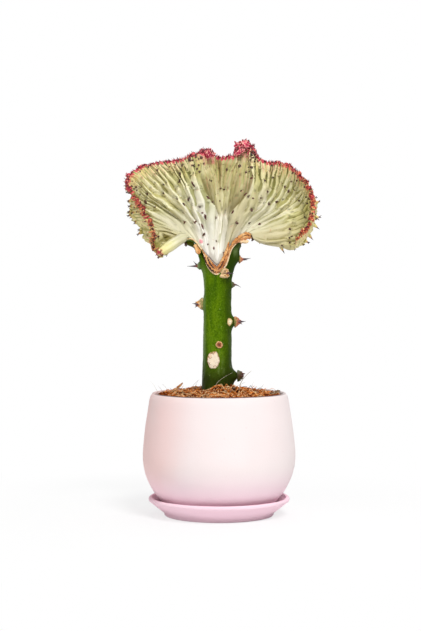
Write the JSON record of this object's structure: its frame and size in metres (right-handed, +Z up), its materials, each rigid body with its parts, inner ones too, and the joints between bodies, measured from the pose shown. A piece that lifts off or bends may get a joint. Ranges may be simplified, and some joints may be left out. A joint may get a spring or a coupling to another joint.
{
  "type": "potted coral cactus",
  "caption": "Grafted coral cactus: a crested, ribbed fan of pale green flesh with a pink growing edge on a green spiny rootstock, in a round clay pot on a saucer.",
  "frame": {"origin": "middle of the saucer's flat underside, on the surface it stands on", "axes": "+Z up along the pot's axis, -Y towards the front, from which the fan's ends curl forward, +X to the right seen from the front"},
  "size_m": [0.1509, 0.12, 0.2947],
  "materials": {
    "clay": "matte",
    "coir": "matte",
    "husk": "matte",
    "stem": "satin",
    "callus": "matte",
    "cork": "matte",
    "crest": "satin"
  },
  "bodies": {
    "root": {"saucer": "clay", "pot": "clay", "potting_mix": "coir", "husk_left": "husk", "husk_front": "husk", "husk_right": "husk", "husk_front_right": "husk", "husk_back": "husk", "husk_back_left": "husk", "fibre_left": "husk", "fibre_centre_left": "husk", "fibre_front": "husk", "fibre_right": "husk", "fibre_far_right": "husk", "fibre_back": "husk", "rootstock": "stem", "graft_callus": "callus", "shield_upper_left": "cork", "shield_middle_left": "cork", "shield_upper_right": "cork", "shield_high_right": "cork", "shield_middle_right": "cork", "shield_low_right": "cork", "shield_front_notch": "cork", "shield_back_low": "cork", "shield_back_middle": "cork", "shield_back_high": "cork", "leaf_scar": "cork", "offset_scar": "cork", "bud_scar": "cork", "back_leaf_scar": "cork", "crested_scion": "crest"}
  },
  "joints": []
}
